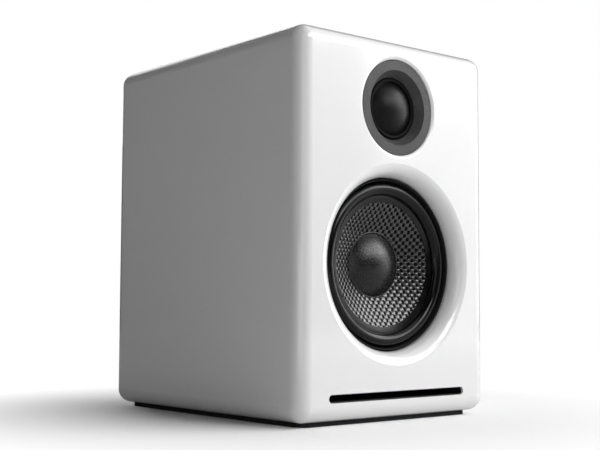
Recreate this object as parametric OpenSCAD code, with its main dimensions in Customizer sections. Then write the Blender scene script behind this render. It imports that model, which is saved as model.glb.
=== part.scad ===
// Bookshelf loudspeaker: a small two-way passive box with a flush dome tweeter,
// a recessed woven-cone woofer, a slot port at the foot and a pair of binding posts behind.
// Millimetres. +Z is up and the front faces -Y. The origin is the middle of the base
// pad's underside. Driver pieces are drawn in a local frame whose +Z runs into the box
// from the front face, so that a height there is a depth behind the front face.

/* [Cabinet] */
// Width across the cabinet
body_w = 103; // [100:1:110]
// Depth from the front face to the rear face
body_d = 131; // [128:1:150]
// Height of the cabinet without its pad
body_h = 150; // [148:1:160]
// Radius of every outer edge and corner
edge_r = 6; // [4:0.5:6.5]
// Thickness of the side, top and bottom boards
wall_t = 7; // [6.5:0.1:7.2]
// Thickness of the front baffle
baffle_t = 15; // [15:0.5:18]
// Thickness of the rear panel
rear_t = 9; // [7:0.5:10]

/* [Base pad] */
// Thickness of the soft pad under the cabinet
pad_t = 1.8; // [1.5:0.1:1.9]
// Inset of the pad from the cabinet's outline
pad_inset = 5.5; // [5:0.5:8]
// Corner radius of the pad
pad_corner_r = 5; // [2:0.5:8]

/* [Woofer] */
// Height of the woofer's axis above the desk
woofer_z = 62; // [60:0.5:66]
// Radius of the woofer's hole at the bottom of its flared lip
woofer_hole_r = 34.8; // [34.5:0.1:35]
// Radius of the flared lip's arc
lip_r = 6.5; // [6.5:0.5:9]
// Depth of the flared lip
lip_depth = 5.5; // [5.5:0.1:5.9]
// Thickness of the cone and the dust cap
cone_t = 0.5; // [0.4:0.1:0.6]
// Height of the dust cap's crown above its rim
cap_h = 5; // [3:0.5:6]

/* [Tweeter] */
// Height of the tweeter's axis above the desk
tweeter_z = 124.6; // [123:0.2:126]
// Outer radius of the tweeter's face ring
face_r = 19.2; // [19:0.1:20]
// Height of the dome's crown above its rim
dome_h = 4.1; // [3:0.1:4.1]

/* [Port] */
// Width of the slot in the baffle
slot_w = 74; // [60:1:74]
// Height of the slot
slot_h = 3.2; // [2.6:0.1:3.4]
// Height of the slot's middle above the desk
slot_z = 10.6; // [10.6:0.1:11.4]

/* [Terminals] */
// Width of the terminal plate
plate_w = 74; // [72:1:78]
// Height of the terminal plate
plate_h = 54; // [52:1:58]
// Height of the terminal plate's middle above the desk
plate_z = 54; // [54:1:70]
// Distance between the two binding posts
post_pitch = 19; // [19:0.05:20]
// Radius of the banana plug socket
socket_r = 2.05; // [2:0.01:2.1]

/* [Hidden] */
$fn = 96;
over = 1;        // how far a cutter passes through a surface

// Cabinet planes
front_y = -body_d / 2;
rear_y = body_d / 2;
bottom_z = pad_t;
mid_z = pad_t + body_h / 2;
inner_w = body_w - 2 * wall_t;
inner_d = body_d - baffle_t - rear_t;
floor_z = bottom_z + wall_t;
ceiling_z = bottom_z + body_h - wall_t;

// Woofer: depths are behind the front face
rebate_r = 39.5;                 // rear rebate that the basket's flange sits in
rebate_s = 8;                    // depth of that rebate's floor
flange_r = 39;
gasket_t = 0.8;
rubber_t = 0.6;
surround_s = rebate_s + gasket_t;          // front of the surround's flat flanges
basket_s = surround_s + rubber_t;          // front of the basket's flange
roll_r = 2.9;                    // outer radius of the half roll
roll_mid_r = 30.5;
cone_rim_r = 28;
cone_edge_r = 25.6;              // where the flat rim turns into the cone
cone_neck_r = 10.15;
cone_slope = 0.473;
cap_rim_r = 13.1;
former_r = 9.9;                  // inside of the coil former
former_t = 0.2;
former_top = 17;
former_bottom = 34;
coil_t = 0.5;
ledge_s = 20.8;                  // ledge that the spider is glued to
plate_s = 27;                    // front of the steel top plate
plate_t = 4;
magnet_t = 10;
yoke_t = 4;
tag_s = 24.5;                    // front of the solder tags
woofer_screw_ring = 37;
woofer_screw_r = 1.45;

// Tweeter: depths are behind the front face
face_s = 0.7;                    // depth of the face ring's front
face_t = 2.5;
face_rebate_s = 3.9;             // depth of the tweeter's rebate
tweeter_hole_r = 17.2;
tweeter_lip_r = 2.5;
silk_s = 4.6;                    // front of the silk flanges
silk_t = 0.3;
dome_r = 10.5;
dome_shell_t = 0.3;
dome_roll_r = 0.9;               // outer radius of the silk's half roll
dome_roll_mid_r = 11.55;

// Terminals: heights are outside the rear face
terminal_t = 3;
terminal_gasket_t = 0.6;
cutout_w = plate_w - 12;
cutout_h = plate_h - 12;
plate_corner_r = 6;
stud_r = 3;
stud_end = 17.5;
stud_tail = -17.5;
socket_floor = 6.3;
wire_hole_r = 1.2;
collar_h = 3;
cap_r = 6.3;
post_cap_base = 3.3;
post_cap_end = 18.3;
insert_r = 4.5;
running_gap = 0.08;
board_t = 1.6;
board_back = -12;                // face of the crossover board towards the plate
board_front = board_back - board_t;
nut_t = 2.5;
nut_flats_r = 5.2;               // across the corners, from the axis

// ---------------------------------------------------------------- helpers

// Local frame of a driver: +Z runs into the box from the front face
module into_front(height) {
    translate([0, front_y, height]) rotate([-90, 0, 0]) children();
}

// Local frame of the terminals: +Z runs out of the rear face
module out_of_rear(height) {
    translate([0, rear_y, height]) rotate([-90, 0, 0]) children();
}

// Flat ring from r_in to r_out, from height a to height b
module ring(r_out, r_in, a, b) {
    difference() {
        translate([0, 0, a]) cylinder(r = r_out, h = b - a);
        translate([0, 0, a - over]) cylinder(r = r_in, h = b - a + 2 * over);
    }
}

module rounded_rect(w, h, r) {
    square([w - 2 * r, h], center = true);
    square([w, h - 2 * r], center = true);
    for (x = [-1, 1], y = [-1, 1])
        translate([x * (w / 2 - r), y * (h / 2 - r)]) circle(r = r);
}

// Panel of thickness t whose outer face, at height 0, has rounded edges and ball corners
module rounded_panel(t) {
    $fn = 48;
    x = body_w / 2 - edge_r;
    y = body_h / 2 - edge_r;
    intersection() {
        union() {
            translate([0, 0, edge_r]) linear_extrude(t) rounded_rect(body_w, body_h, edge_r);
            translate([-x, -y, 0]) cube([2 * x, 2 * y, t]);
            for (side = [-1, 1]) {
                translate([-x, side * y, edge_r]) rotate([0, 90, 0]) cylinder(r = edge_r, h = 2 * x);
                translate([side * x, y, edge_r]) rotate([90, 0, 0]) cylinder(r = edge_r, h = 2 * y);
                for (end = [-1, 1]) translate([side * x, end * y, edge_r]) sphere(r = edge_r);
            }
        }
        translate([-body_w, -body_h, 0]) cube([2 * body_w, 2 * body_h, t]);
    }
}

// Cutter for a lip that rolls into a hole of radius r, meeting the face at a small angle
module flared_hole(r, arc, depth) {
    meet_angle = 11;
    centre_s = arc * cos(meet_angle);
    centre_r = r + sqrt(arc * arc - pow(centre_s - depth, 2));
    rotate_extrude() difference() {
        translate([0, -over]) square([centre_r - arc * sin(meet_angle), depth + over]);
        translate([centre_r, centre_s]) circle(r = arc);
    }
}

// Tube of radius r swept along points, with rings square to the path
function unit(v) = v / norm(v);
function tangent(p, i) = unit(p[min(i + 1, len(p) - 1)] - p[max(i - 1, 0)]);
function sideways(t) = unit(cross(t, abs(t.z) < 0.9 ? [0, 0, 1] : [1, 0, 0]));
function tube_ring(p, i, r, n) =
    let (t = tangent(p, i), u = sideways(t), v = cross(t, u))
    [for (k = [0:n - 1]) p[i] + r * (cos(360 * k / n) * u + sin(360 * k / n) * v)];

module tube(points, r, n = 8) {
    last = len(points) - 1;
    rings = [for (i = [0:last]) each tube_ring(points, i, r, n)];
    faces = concat(
        [[for (k = [0:n - 1]) k]],
        [for (i = [0:last - 1], k = [0:n - 1])
            [i * n + k, (i + 1) * n + k, (i + 1) * n + (k + 1) % n, i * n + (k + 1) % n]],
        [[for (k = [n - 1:-1:0]) last * n + k]]
    );
    polyhedron(rings, faces);
}

// Smooth points through a list of hand-set ones
function spline_point(a, b, c, d, t) =
    0.5 * ((2 * b) + (c - a) * t + (2 * a - 5 * b + 4 * c - d) * t * t
        + (3 * b - a - 3 * c + d) * t * t * t);
function smooth(p, steps = 4) = concat(
    [for (i = [0:len(p) - 2], k = [0:steps - 1])
        spline_point(p[max(i - 1, 0)], p[i], p[i + 1], p[min(i + 2, len(p) - 1)], k / steps)],
    [p[len(p) - 1]]
);

// ---------------------------------------------------------------- cabinet

module front_baffle() color("white") difference() {
    into_front(mid_z) rounded_panel(baffle_t);
    into_front(woofer_z) {
        flared_hole(woofer_hole_r, lip_r, lip_depth);
        cylinder(r = woofer_hole_r, h = baffle_t);
        translate([0, 0, rebate_s]) cylinder(r = rebate_r, h = baffle_t);
        for (a = [45:90:315]) rotate(a) translate([woofer_screw_ring, 0, 4.9])
            cylinder(r = woofer_screw_r + 0.05, h = baffle_t);
    }
    into_front(tweeter_z) {
        flared_hole(face_r + 0.2, tweeter_lip_r, face_s);
        cylinder(r = face_r + 0.2, h = face_rebate_s);
        cylinder(r = tweeter_hole_r, h = baffle_t + over);
    }
    into_front(slot_z) translate([0, 0, -over]) linear_extrude(baffle_t + 2 * over)
        rounded_slot(slot_w, slot_h);
}

module rounded_slot(w, h) {
    square([w - h, h], center = true);
    for (x = [-1, 1]) translate([x * (w - h) / 2, 0]) circle(r = h / 2);
}

module rear_panel() color("white") difference() {
    translate([0, rear_y, mid_z]) rotate([90, 0, 0]) rounded_panel(rear_t);
    out_of_rear(plate_z) {
        rebate_h = terminal_t + terminal_gasket_t;
        translate([0, 0, -rebate_h]) linear_extrude(rebate_h + over)
            rounded_rect(plate_w + 0.4, plate_h + 0.4, plate_corner_r);
        translate([0, 0, -rear_t - over]) linear_extrude(rear_t + over)
            rounded_rect(cutout_w, cutout_h, 3);
        terminal_screw_places() translate([0, 0, -8]) cylinder(r = 1.25, h = 8);
    }
}

// Boards of the sleeve between the baffle and the rear panel
module sleeve_outline() {
    translate([0, front_y + baffle_t, mid_z]) rotate([-90, 0, 0])
        linear_extrude(inner_d) rounded_rect(body_w, body_h, edge_r);
}

module side_board(side) color("white") intersection() {
    sleeve_outline();
    translate([side < 0 ? -body_w : body_w / 2 - wall_t, front_y, 0])
        cube([body_w / 2 + wall_t, body_d, body_h + 2 * pad_t]);
}

module left_side() side_board(-1);

module right_side() side_board(1);

module flat_board(z) color("white")
    translate([-inner_w / 2, front_y + baffle_t, z]) cube([inner_w, inner_d, wall_t]);

module top_panel() flat_board(ceiling_z);

module bottom_panel() flat_board(bottom_z);

// Slot duct: a shelf over the bottom board that turns up in front of the rear panel
module port_duct() color("dimgray") {
    skin = 2;
    roof_z = slot_z + slot_h / 2 + 0.2;
    back = rear_y - rear_t - slot_h;
    riser_top = plate_z - cutout_h / 2 - 4;
    outer_w = slot_w + 2 * skin + 1;
    difference() {
        union() {
            translate([-outer_w / 2, front_y + baffle_t, floor_z])
                cube([outer_w, inner_d, roof_z + skin - floor_z]);
            translate([-outer_w / 2, back - skin, floor_z])
                cube([outer_w, slot_h + skin, riser_top - floor_z]);
        }
        translate([-outer_w / 2 + skin, front_y + baffle_t - over, floor_z - over])
            cube([outer_w - 2 * skin, inner_d + 2 * over, roof_z - floor_z + over]);
        translate([-outer_w / 2 + skin, back, floor_z - over])
            cube([outer_w - 2 * skin, slot_h + over, body_h]);
    }
}

module base_pad() color("black")
    linear_extrude(pad_t)
        rounded_rect(body_w - 2 * pad_inset, body_d - 2 * pad_inset, pad_corner_r);

// Wadding folded over the top of the box, hanging down both side boards
module wadding() color("gainsboro") {
    t = 7;
    foot = 90;
    length = 52;
    translate([0, -8, 0]) difference() {
        translate([-inner_w / 2, 0, foot]) cube([inner_w, length, ceiling_z - foot]);
        translate([-inner_w / 2 + t, -over, foot - over])
            cube([inner_w - 2 * t, length + 2 * over, ceiling_z - foot - t + over]);
    }
}

// ---------------------------------------------------------------- woofer

module woofer_gasket() color("black") into_front(woofer_z) difference() {
    inner = 33.6;
    nose = 34.3;
    rotate_extrude() polygon([
        [inner, 6.1], [inner + 0.2, 6], [nose - 0.2, 6], [nose, 6.2], [nose, rebate_s],
        [flange_r, rebate_s], [flange_r, surround_s], [inner, surround_s]
    ]);
    woofer_screw_holes(rebate_s, surround_s);
}

module woofer_screw_holes(a, b) {
    for (angle = [45:90:315]) rotate(angle) translate([woofer_screw_ring, 0, a - over])
        cylinder(r = woofer_screw_r + 0.2, h = b - a + 2 * over);
}

module woofer_surround() color("#202020") into_front(woofer_z) difference() {
    rotate_extrude() {
        intersection() {
            translate([roll_mid_r, surround_s + rubber_t / 2]) difference() {
                circle(r = roll_r);
                circle(r = roll_r - rubber_t);
            }
            translate([roll_mid_r - 2 * roll_r, 0]) square([4 * roll_r, basket_s]);
        }
        translate([cone_edge_r - 0.5, surround_s])
            square([roll_mid_r - roll_r + rubber_t / 2 - cone_edge_r + 0.5, rubber_t]);
        translate([roll_mid_r + roll_r - rubber_t / 2, surround_s])
            square([flange_r - 0.5 - roll_mid_r - roll_r + rubber_t / 2, rubber_t]);
    }
    woofer_screw_holes(surround_s, basket_s);
}

function cone_face(r) = basket_s + cone_slope * (cone_edge_r - r);

module woofer_cone() color("#3a3a3a") into_front(woofer_z) rotate_extrude() polygon([
    [cone_rim_r, basket_s], [cone_edge_r, basket_s], [cone_neck_r, cone_face(cone_neck_r)],
    [cone_neck_r, cone_face(cone_neck_r) + cone_t * 1.1],
    [cone_edge_r, basket_s + cone_t * 1.1], [cone_rim_r, basket_s + cone_t]
]);

module woofer_dust_cap() color("#2c2c2c") into_front(woofer_z) {
    crown_r = (cap_rim_r * cap_rim_r + cap_h * cap_h) / (2 * cap_h);
    rotate_extrude() intersection() {
        translate([0, cone_face(cap_rim_r) - cap_h + crown_r]) difference() {
            circle(r = crown_r);
            circle(r = crown_r - cone_t);
        }
        polygon([[0, 0], [cone_edge_r, 0], [cone_edge_r, basket_s], [0, cone_face(0)]]);
    }
}

module woofer_former() color("goldenrod") into_front(woofer_z)
    ring(former_r + former_t, former_r, former_top, former_bottom);

module woofer_voice_coil() color("orangered") into_front(woofer_z)
    ring(former_r + former_t + coil_t, former_r + former_t, 26, 33);

// Corrugated centring disc, glued to the former and to the basket's ledge
module woofer_spider() color("peru") into_front(woofer_z) {
    t = 0.5;
    inner = former_r + former_t;
    start = 11.5;
    outer = 22.5;
    waves = 4;
    steps = 32;
    wave = [for (i = [0:steps])
        [start + (outer - start) * i / steps, ledge_s - t - 0.7 * (1 - cos(360 * waves * i / steps)) / 2]];
    rotate_extrude() polygon(concat(
        [[inner, ledge_s - 2], [inner + 0.6, ledge_s - 2], [inner + 0.6, ledge_s - t]],
        wave,
        [[25.4, ledge_s - t], [25.4, ledge_s]],
        [for (i = [steps:-1:0]) wave[i] + [0, t]],
        [[inner, ledge_s]]
    ));
}

module woofer_basket() color("#303030") into_front(woofer_z) difference() {
    rotate_extrude() polygon([
        [33.2, basket_s], [flange_r, basket_s], [flange_r, basket_s + 1.2], [34.4, basket_s + 1.2],
        [34.4, 12], [26.8, ledge_s + 1.1], [24, ledge_s + 1.1], [24, plate_s], [13, plate_s],
        [13, plate_s - 1.2], [22.8, plate_s - 1.2], [22.8, ledge_s], [25.9, ledge_s], [33.2, 11.4]
    ]);
    for (angle = [-90:60:210]) rotate(angle) translate([26, -7, 13]) cube([10, 14, 6.8]);
    woofer_screw_holes(basket_s, basket_s + 1.2);
}

module woofer_top_plate() color("silver") into_front(woofer_z)
    ring(24.9, 10.95, plate_s, plate_s + plate_t);

module woofer_magnet() color("#333333") into_front(woofer_z)
    ring(27.5, 13, plate_s + plate_t, plate_s + plate_t + magnet_t);

module woofer_pole_yoke() color("silver") into_front(woofer_z) difference() {
    yoke_s = plate_s + plate_t + magnet_t;
    union() {
        translate([0, 0, plate_s - 0.5]) cylinder(r = 9.5, h = yoke_s - plate_s + 0.5 + yoke_t);
        translate([0, 0, yoke_s]) cylinder(r = 24.9, h = yoke_t);
    }
    translate([0, 0, plate_s - over]) cylinder(r = 3, h = 30);
}

module woofer_terminal_strip() color("saddlebrown") into_front(woofer_z)
    translate([-8, -25.3, ledge_s + 1.2]) cube([16, 1.3, 5]);

module woofer_tags() color("gold") into_front(woofer_z)
    for (x = [-4, 4]) translate([x - 1.4, -31.5, tag_s]) cube([2.8, 6.2, 0.5]);

// Braided leads from the back of the cone, out through a basket window to the tags
module woofer_tinsel_leads() color("sandybrown") into_front(woofer_z)
    for (x = [-4, 4]) tube(smooth([
        [x, -18, 14.4], [x, -21, 16.6], [x, -25, 17.6], [x, -29, 17.4],
        [x, -31.5, 18.6], [x, -31, 21], [x, -29.4, 22.8], [x, -29.2, tag_s]
    ], 2), 0.4, 6);

module woofer_screws() color("dimgray") into_front(woofer_z)
    for (angle = [45:90:315]) rotate(angle) translate([woofer_screw_ring, 0, 0]) difference() {
        union() {
            translate([0, 0, 5.1]) cylinder(r = woofer_screw_r, h = 5.7);
            translate([0, 0, basket_s + 1.2]) cylinder(r1 = 2.4, r2 = 1.9, h = 1.7);
        }
        for (turn = [0, 90]) rotate(turn) translate([-1.4, -0.3, basket_s + 2.1]) cube([2.8, 0.6, 2]);
    }

// ---------------------------------------------------------------- tweeter

module tweeter_faceplate() color("#5a5a5a") into_front(tweeter_z) rotate_extrude() polygon([
    [face_r, face_s + 0.2], [face_r - 0.2, face_s], [15.2, face_s], [12.7, silk_s - 0.6],
    [12.7, silk_s], [17, silk_s], [17, face_s + face_t], [face_r, face_s + face_t]
]);

module tweeter_gasket() color("black") into_front(tweeter_z)
    ring(face_r - 0.1, 17.2, face_s + face_t, face_rebate_s);

module tweeter_surround() color("#181818") into_front(tweeter_z) rotate_extrude() {
    intersection() {
        translate([dome_roll_mid_r, silk_s + silk_t / 2]) difference() {
            circle(r = dome_roll_r);
            circle(r = dome_roll_r - silk_t);
        }
        square([20, silk_s + silk_t]);
    }
    translate([dome_roll_mid_r + dome_roll_r - silk_t / 2, silk_s]) square([4, silk_t]);
}

module tweeter_dome() color("#141414") into_front(tweeter_z) {
    crown_r = (dome_r * dome_r + dome_h * dome_h) / (2 * dome_h);
    rotate_extrude() intersection() {
        translate([0, silk_s - dome_h + crown_r]) difference() {
            circle(r = crown_r);
            circle(r = crown_r - dome_shell_t);
        }
        square([dome_r + 0.5, silk_s + 0.1]);
    }
}

module tweeter_former() color("goldenrod") into_front(tweeter_z)
    ring(10.3, 10.15, silk_s + 0.1, 9.2);

module tweeter_voice_coil() color("orangered") into_front(tweeter_z)
    ring(10.55, 10.3, 6.8, 8.8);

module tweeter_felt() color("gray") into_front(tweeter_z)
    translate([0, 0, 5.5]) cylinder(r = 8.3, h = 1.1);

module tweeter_pole_disc() color("silver") into_front(tweeter_z)
    translate([0, 0, 6.6]) cylinder(r = 9.75, h = 2);

module tweeter_magnet() color("lightgray") into_front(tweeter_z)
    translate([0, 0, 8.6]) cylinder(r = 8.8, h = 4);

module tweeter_cup() color("silver") into_front(tweeter_z) rotate_extrude() polygon([
    [10.95, 6.6], [14.5, 6.6], [14.5, 15.1], [0, 15.1], [0, 12.6], [11.8, 12.6], [11.8, 8.6],
    [10.95, 8.6]
]);

module tweeter_housing() color("#202020") into_front(tweeter_z) rotate_extrude() polygon([
    [12.7, silk_s + silk_t], [17, silk_s + silk_t], [17, 15.1], [14.6, 15.1], [14.6, 6.6],
    [12.7, 6.6]
]);

module tweeter_tags() color("gold") into_front(tweeter_z)
    for (x = [-4, 4]) translate([x - 1.2, 15.2, 15.1]) cube([2.4, 0.5, 7]);

// ---------------------------------------------------------------- terminals

module terminal_screw_places() {
    for (x = [-1, 1], y = [-1, 1])
        translate([x * (plate_w / 2 - 5), y * (plate_h / 2 - 5), 0]) children();
}

module post_places() {
    for (x = [-1, 1]) translate([x * post_pitch / 2, 0, 0]) children();
}

module terminal_plate() color("#1c1c1c") out_of_rear(plate_z) difference() {
    translate([0, 0, -terminal_t]) linear_extrude(terminal_t)
        rounded_rect(plate_w, plate_h, plate_corner_r - 0.2);
    translate([0, 0, -1]) linear_extrude(2) rounded_rect(plate_w - 20, plate_h - 24, 4);
    post_places() translate([0, 0, -terminal_t - over]) cylinder(r = stud_r + 0.1, h = 5);
    terminal_screw_places() {
        translate([0, 0, -terminal_t - over]) cylinder(r = 1.6, h = 5);
        translate([0, 0, -1.6]) cylinder(r1 = 1.6, r2 = 3.2, h = 1.61);
    }
}

module terminal_gasket() color("black") out_of_rear(plate_z) difference() {
    bottom = -terminal_t - terminal_gasket_t;
    translate([0, 0, bottom]) linear_extrude(terminal_gasket_t)
        rounded_rect(plate_w - 0.4, plate_h - 0.4, plate_corner_r - 0.4);
    translate([0, 0, bottom - over]) linear_extrude(3) rounded_rect(cutout_w, cutout_h, 3);
    terminal_screw_places() translate([0, 0, bottom - over]) cylinder(r = 1.6, h = 5);
}

module terminal_screws() color("#444444") out_of_rear(plate_z) terminal_screw_places() difference() {
    union() {
        translate([0, 0, -7.6]) cylinder(r = 1.2, h = 7.4);
        translate([0, 0, -1.5]) cylinder(r1 = 1.4, r2 = 2.85, h = 1.4);
    }
    for (turn = [0, 90]) rotate(turn) translate([-1.6, -0.3, -1.1]) cube([3.2, 0.6, 2]);
}

// The posts sit 1 mm down, in the plate's shallow dish
module at_post(side) {
    out_of_rear(plate_z) translate([side * post_pitch / 2, 0, 0]) children();
}

module post_stud(side) color("gold") at_post(side) difference() {
    translate([0, 0, stud_tail]) cylinder(r = stud_r, h = stud_end - stud_tail);
    translate([0, 0, socket_floor]) cylinder(r = socket_r, h = stud_end);
    translate([0, 0, socket_floor - wire_hole_r - 0.5]) rotate([90, 0, 0])
        cylinder(r = wire_hole_r, h = 4 * stud_r, center = true);
}

module post_collar(side, paint) color(paint) at_post(side) difference() {
    translate([0, 0, -1]) cylinder(r = cap_r, h = collar_h + 1);
    translate([0, 0, -over - 1]) cylinder(r = stud_r + 0.05, h = collar_h + 4 * over);
}

module post_insert(side) color("goldenrod") at_post(side)
    ring(insert_r, stud_r + running_gap, post_cap_base + 0.2, post_cap_end - 2);

module post_cap(side, paint) color(paint) at_post(side) difference() {
    grip = 12;
    union() {
        translate([0, 0, post_cap_base]) cylinder(r = cap_r, h = post_cap_end - post_cap_base - 1);
        translate([0, 0, post_cap_end - 1]) cylinder(r1 = cap_r, r2 = cap_r - 1, h = 1);
    }
    translate([0, 0, post_cap_base - over])
        cylinder(r = insert_r + running_gap, h = post_cap_end - post_cap_base - 1.8 + over);
    cylinder(r = stud_r + 0.3, h = post_cap_end + over);
    for (k = [0:grip - 1]) rotate(360 * k / grip) translate([cap_r + 0.75, 0, post_cap_base + 2])
        cylinder(r = 1.25, h = post_cap_end);
}

module post_stud_red() post_stud(1);

module post_stud_black() post_stud(-1);

module post_collar_red() post_collar(1, "firebrick");

module post_collar_black() post_collar(-1, "#1c1c1c");

module post_insert_red() post_insert(1);

module post_insert_black() post_insert(-1);

module post_cap_red() post_cap(1, "firebrick");

module post_cap_black() post_cap(-1, "#1c1c1c");

// One nut against the plate and one against the crossover board, on each stud
module post_nuts() color("silver") out_of_rear(plate_z) post_places()
    for (base = [-terminal_t - nut_t, board_front - nut_t]) difference() {
        translate([0, 0, base]) cylinder(r = nut_flats_r, h = nut_t, $fn = 6);
        translate([0, 0, base - over]) cylinder(r = stud_r + 0.05, h = nut_t + 2 * over);
    }

module post_spacers() color("gold") out_of_rear(plate_z) post_places()
    ring(4.5, stud_r + 0.05, board_back, -terminal_t - nut_t);

// ---------------------------------------------------------------- crossover

module on_board(x, y) {
    out_of_rear(plate_z) translate([x, y, board_front]) mirror([0, 0, 1]) children();
}

module crossover_board() color("darkgreen") out_of_rear(plate_z) difference() {
    translate([0, 0, board_front]) linear_extrude(board_t)
        rounded_rect(cutout_w - 4, cutout_h - 4, 2);
    post_places() translate([0, 0, board_front - over]) cylinder(r = stud_r + 0.1, h = 4);
}

module inductor_core() color("#2a2a2a") on_board(-20, -10) {
    cylinder(r = 8.5, h = 1.5);
    cylinder(r = 4, h = 14);
    translate([0, 0, 12.5]) cylinder(r = 8.5, h = 1.5);
}

module inductor_coil() color("chocolate") on_board(-20, -10) ring(7.8, 4, 1.5, 12.5);

module film_capacitor() color("royalblue") on_board(20, -12)
    translate([-9, -5, 0]) cube([18, 10, 15]);

module electrolytic_capacitor() color("midnightblue") on_board(-27, 10.5)
    translate([0, 0, 5]) rotate([0, 90, 0]) cylinder(r = 5, h = 21);

module cement_resistor() color("whitesmoke") on_board(16, 11.5)
    translate([-11, -4.5, 0]) cube([22, 9, 9]);

// ---------------------------------------------------------------- internal wiring

wire_r = 0.9;
woofer_joint = [front_y + tag_s + 0.55, woofer_z + 29.9];      // y and z of the wires' ends
tweeter_joint = [front_y + 17.5, tweeter_z - 16.65];
board_y = rear_y + board_front;

// Wire from a driver's tag, through points in the box, to a place x, z on the board
module lead(x, joint, path, board_x, board_z, paint) color(paint) tube(smooth(concat(
    [[x, joint[0], joint[1]], [x, joint[0] + 5.5, joint[1] + 0.2]],
    path,
    [[board_x, board_y, board_z]]
), 3), wire_r, 6);

module woofer_lead_red() lead(4, woofer_joint, [
    [6, -22, 95], [10, -4, 94], [13, 12, 88], [12, 23, 77], [8, 30, 68], [5.5, 37, 62],
    [4.5, board_y - 7.9, 59]
], 4.5, 59, "firebrick");

module woofer_lead_black() lead(-4, woofer_joint, [
    [-5, -22, 95], [-7, -4, 95], [-6, 12, 91], [-3, 24, 80], [-2, 32, 70], [-2, 40, 63],
    [-3, board_y - 5.9, 60]
], -3, 60, "#1c1c1c");

module tweeter_lead_red() lead(4, tweeter_joint, [
    [8, -26, 112], [15, -8, 114], [21, 10, 108], [22, 24, 96], [20, 36, 84], [13, 44, 74]
], 8, 70.5, "firebrick");

module tweeter_lead_black() lead(-4, tweeter_joint, [
    [-8, -26, 113], [-14, -8, 116], [-18, 10, 110], [-18, 24, 96], [-15, 36, 80],
    [-11, 43, 69]
], -9, 64, "#1c1c1c");

// ---------------------------------------------------------------- nodes

front_baffle();
rear_panel();
left_side();
right_side();
top_panel();
bottom_panel();
port_duct();
base_pad();
wadding();
woofer_gasket();
woofer_surround();
woofer_cone();
woofer_dust_cap();
woofer_former();
woofer_voice_coil();
woofer_spider();
woofer_basket();
woofer_top_plate();
woofer_magnet();
woofer_pole_yoke();
woofer_terminal_strip();
woofer_tags();
woofer_tinsel_leads();
woofer_screws();
tweeter_faceplate();
tweeter_gasket();
tweeter_surround();
tweeter_dome();
tweeter_former();
tweeter_voice_coil();
tweeter_felt();
tweeter_pole_disc();
tweeter_magnet();
tweeter_cup();
tweeter_housing();
tweeter_tags();
terminal_plate();
terminal_gasket();
terminal_screws();
post_stud_red();
post_stud_black();
post_collar_red();
post_collar_black();
post_insert_red();
post_insert_black();
post_cap_red();
post_cap_black();
post_nuts();
post_spacers();
crossover_board();
inductor_core();
inductor_coil();
film_capacitor();
electrolytic_capacitor();
cement_resistor();
woofer_lead_red();
woofer_lead_black();
tweeter_lead_red();
tweeter_lead_black();
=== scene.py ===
"""Bookshelf loudspeaker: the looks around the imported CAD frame.

Metres, +Z up, front towards -Y. Round pieces are drawn in millimetres as an outline of
(radius, depth) points in a local frame, as they are in the CAD source: a driver's depth runs
from the front face into the box.
"""

import math

import bpy
import numpy as np
from mathutils import Matrix, Vector


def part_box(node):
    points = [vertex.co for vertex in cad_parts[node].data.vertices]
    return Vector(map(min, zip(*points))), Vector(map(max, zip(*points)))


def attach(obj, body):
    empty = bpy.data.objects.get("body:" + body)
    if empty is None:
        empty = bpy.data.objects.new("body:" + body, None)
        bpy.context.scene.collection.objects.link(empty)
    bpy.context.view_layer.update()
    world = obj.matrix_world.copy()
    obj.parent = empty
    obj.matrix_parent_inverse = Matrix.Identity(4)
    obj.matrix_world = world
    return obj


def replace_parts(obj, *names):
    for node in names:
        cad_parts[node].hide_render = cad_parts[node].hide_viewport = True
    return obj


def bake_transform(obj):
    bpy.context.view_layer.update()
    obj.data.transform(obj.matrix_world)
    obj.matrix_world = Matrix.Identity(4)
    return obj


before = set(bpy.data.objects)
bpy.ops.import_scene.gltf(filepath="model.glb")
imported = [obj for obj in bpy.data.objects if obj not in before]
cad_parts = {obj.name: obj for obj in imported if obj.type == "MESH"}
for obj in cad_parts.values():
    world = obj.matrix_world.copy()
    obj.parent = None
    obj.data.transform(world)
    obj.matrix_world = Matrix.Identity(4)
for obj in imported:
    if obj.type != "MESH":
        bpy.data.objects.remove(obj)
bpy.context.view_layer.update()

MM = 0.001
TAU = 2 * math.pi
ROOT = "cabinet"
CONE_BODY = "woofer_cone_assembly"
DOME_BODY = "tweeter_dome_assembly"

# ---------------------------------------------------------------- places taken from the frame


def middle(node):
    low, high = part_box(node)
    return (low + high) / 2


FRONT_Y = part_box("front_baffle")[0].y
REAR_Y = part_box("rear_panel")[1].y
WOOFER_Z = middle("woofer_cone").z
TWEETER_Z = middle("tweeter_dome").z
PLATE_Z = middle("terminal_plate").z
QUARTER_BACK = Matrix.Rotation(-math.pi / 2, 4, "X")
WOOFER = Matrix.Translation((0, FRONT_Y, WOOFER_Z)) @ QUARTER_BACK
TWEETER = Matrix.Translation((0, FRONT_Y, TWEETER_Z)) @ QUARTER_BACK

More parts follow.
